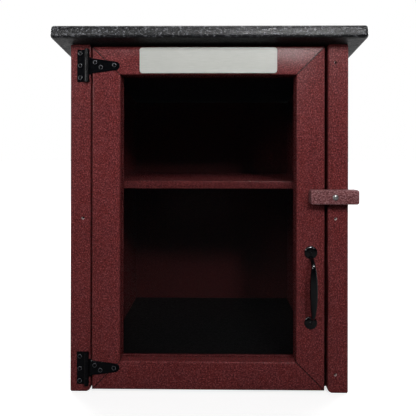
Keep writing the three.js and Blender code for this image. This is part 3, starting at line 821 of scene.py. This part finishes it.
def make_wall_screws():
    """Screws that hold the back wall on the side walls, and the floor between them."""
    back_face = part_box("back_wall")[1].y
    wall_low, wall_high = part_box("right_side_wall")
    side = (wall_low.x + wall_high.x) / 2
    for level, z in BACK_SCREW_LEVELS:
        for word, x in (("left", -side), ("right", side)):
            name, seat = f"{word}_back_screw_{level}", (x, back_face, z)
            screw_at(name, "shelf", seat, BACK, "box", z * SPIN_PER_METRE_UP)
    low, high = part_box("floor_panel")
    height = (low.z + high.z) / 2
    front, back = low.y + FLOOR_SCREW_FROM_FRONT, high.y - FLOOR_SCREW_FROM_BACK
    for end, y in (("front", front), ("back", back)):
        for word, x, outward in (("left", -wall_high.x, LEFT), ("right", wall_high.x, RIGHT)):
            name, seat = f"{word}_floor_screw_{end}", (x, y, height)
            screw_at(name, "shelf", seat, outward, "box", y * SPIN_PER_METRE_BACK)


def make_retainer_screws():
    """Screws that hold the pane's retainers to the back of the door frame."""
    left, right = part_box("pane_retainer_left"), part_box("pane_retainer_right")
    top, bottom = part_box("pane_retainer_top"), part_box("pane_retainer_bottom")
    back = left[1].y
    for i, share in enumerate(RETAINER_SCREW_SHARES):
        z = left[0].z + share * (left[1].z - left[0].z)
        x = top[0].x + share * (top[1].x - top[0].x)
        for word, place in (
            ("left", (left[0].x + RETAINER_SCREW_FROM_EDGE, back, z)),
            ("right", (right[1].x - RETAINER_SCREW_FROM_EDGE, back, z)),
            ("top", (x, back, top[1].z - RETAINER_SCREW_FROM_EDGE)),
            ("bottom", (x, back, bottom[0].z + RETAINER_SCREW_FROM_EDGE)),
        ):
            spin = RETAINER_SPIN_STEP * i + RETAINER_SPIN
            screw_at(f"retainer_screw_{word}_{i}", "small", place, BACK, "door", spin)


make_screws()
make_wall_screws()
make_retainer_screws()


# Stage, light and camera

FLOOR_HALF_SIDE = 40
FLOOR_DROP = 0.3 * MM  # so that the box's underside doesn't coincide with the floor
FLOOR_BEHIND = (-0.2, 0.3)  # y, between the part that is mirrored dark and the part mirrored white
FLOOR_DARK = 0.02  # how much of the white the dark part keeps
FLOOR_NEAR = (0.45, 1.6)  # metres from the box's middle, between which the white comes up to full
WORLD_BEHIND = (-0.1, 0.45)  # y of a direction, between the dark front and the bright back
# How bright the world's light is from the front and from the back, where mirrored rays find 1
FRONT_LEVEL, BACK_LEVEL = 0.015, 0.5
FLOOR_DIM, FLOOR_PALE = (0.12, 0.12, 0.12, 1), (0.5, 0.5, 0.5, 1)
DOOR_TOP = (0, -0.2, 0.58)
BOX_TOP = (0, 0.1, 0.6)
BOX_MIDDLE = (0, 0.1, 0.35)


def mirrored_ray(t, rays):
    """1 for a ray off a glossy surface or through a clear one, and 0 for every other."""
    return t.math("MAXIMUM", rays["Is Glossy Ray"], rays["Is Transmission Ray"])


def stage_floor():
    """A floor that the camera sees white, and that is mirrored dark in front of the box."""
    mesh = bpy.data.meshes.new("floor")
    side = FLOOR_HALF_SIDE
    corners = [(-side, -side, 0), (side, -side, 0), (side, side, 0), (-side, side, 0)]
    mesh.from_pydata(corners, [], [(0, 1, 2, 3)])
    floor = bpy.data.objects.new("floor", mesh)
    floor.location.z = -FLOOR_DROP
    scene.collection.objects.link(floor)
    material = bpy.data.materials.new("pale_floor")
    t = Tree(material)
    rays = t.add("ShaderNodeLightPath").outputs
    position = t.add("ShaderNodeNewGeometry").outputs["Position"]
    behind = t.ranged(t.axes(position)[1], FLOOR_BEHIND, (FLOOR_DARK, 1.0), smooth=True)
    seen = t.math("MAXIMUM", rays["Is Camera Ray"], t.times(mirrored_ray(t, rays), behind))
    dim = t.feed(t.add("ShaderNodeBsdfDiffuse"), Color=FLOOR_DIM)
    pale = t.feed(t.add("ShaderNodeBsdfDiffuse"), Color=FLOOR_PALE)
    white = t.ranged(t.length(position), FLOOR_NEAR, (0.7, 1.0), smooth=True)
    glow = t.feed(t.add("ShaderNodeEmission"), Strength=white)
    both = t.add("ShaderNodeAddShader")
    t.link(pale.outputs[0], both.inputs[0])
    t.link(glow.outputs[0], both.inputs[1])
    pick = t.add("ShaderNodeMixShader")
    t.link(seen, pick.inputs[0])
    t.link(dim.outputs[0], pick.inputs[1])
    t.link(both.outputs[0], pick.inputs[2])
    output = t.add("ShaderNodeOutputMaterial")
    t.link(pick.outputs[0], output.inputs["Surface"])
    mesh.materials.append(material)


def studio_world():
    """White to the camera. Its light is brighter behind the box, as from a white backdrop."""
    world = bpy.data.worlds.new("studio")
    scene.world = world
    t = Tree(world)
    rays = t.add("ShaderNodeLightPath").outputs
    direction = t.axes(t.add("ShaderNodeTexCoord").outputs["Generated"])
    behind = t.ranged(direction[1], WORLD_BEHIND, smooth=True)
    fill = t.ranged(behind, (0, 1), (FRONT_LEVEL, BACK_LEVEL))
    shown = t.ranged(behind, (0, 1), (FRONT_LEVEL, 1.0))
    mirrored = mirrored_ray(t, rays)
    direct = t.times(fill, t.math("SUBTRACT", 1.0, mirrored))
    level = t.math("ADD", t.times(shown, mirrored), direct)
    level = t.math("MAXIMUM", level, rays["Is Camera Ray"])
    background = t.feed(t.add("ShaderNodeBackground"), Color=(1, 1, 1, 1), Strength=level)
    output = t.add("ShaderNodeOutputWorld")
    t.link(background.outputs[0], output.inputs["Surface"])


def softbox(name, place, aim, size, power, spread=180):
    """A rectangular lamp of so many metres, watts and degrees, which the camera doesn't see."""
    data = bpy.data.lights.new(name, "AREA")
    data.shape = "RECTANGLE"
    data.size, data.size_y = size
    data.energy = power
    data.spread = math.radians(spread)
    lamp = bpy.data.objects.new(name, data)
    lamp.location = place
    lamp.rotation_euler = (Vector(aim) - Vector(place)).to_track_quat("-Z", "Y").to_euler()
    lamp.visible_camera = False
    scene.collection.objects.link(lamp)


def studio_lamps():
    # In front of the box, above it and to its right
    softbox("key", (0.42, -1.5, 1.19), DOOR_TOP, (0.18, 0.18), power=4.7, spread=130)
    softbox("key_high", (0.64, -1.05, 1.16), DOOR_TOP, (0.16, 0.16), power=1.5, spread=130)
    # A long low strip of light across the front
    softbox("bar", (-0.15, -1.5, 1.34), DOOR_TOP, (1.5, 0.15), power=3.6, spread=130)
    # In front, out to the right and to the left
    softbox("key_right", (0.9, -1.05, 0.8), DOOR_TOP, (0.28, 0.28), power=0.4, spread=130)
    softbox("key_left", (-0.95, -1.05, 0.76), DOOR_TOP, (0.28, 0.28), power=1.8, spread=110)
    # Above and behind
    softbox("top", (0.1, 0.5, 2.3), BOX_TOP, (1.6, 1.2), power=30)
    softbox("back_left", (-1.7, 1.5, 1.3), BOX_MIDDLE, (1.1, 1.1), power=26)
    softbox("back_right", (1.8, 1.2, 1.2), BOX_MIDDLE, (1.1, 1.1), power=26)


def camera():
    """Level and almost square to the front, shifted to place the box as in the photograph."""
    data = bpy.data.cameras.new("camera")
    data.sensor_width = 36
    data.lens = 31.31
    data.shift_x = -0.011
    data.shift_y = -0.12
    data.clip_start, data.clip_end = 0.05, 100
    eye = bpy.data.objects.new("camera", data)
    eye.location = (0.0124, -0.842, 0.415)
    level, lean, turn_left = math.radians(90), -0.0015, math.radians(0.54)
    eye.rotation_euler = (level, lean, turn_left)
    scene.collection.objects.link(eye)
    scene.camera = eye


stage_floor()
studio_world()
studio_lamps()
camera()
scene.view_settings.view_transform = "Standard"
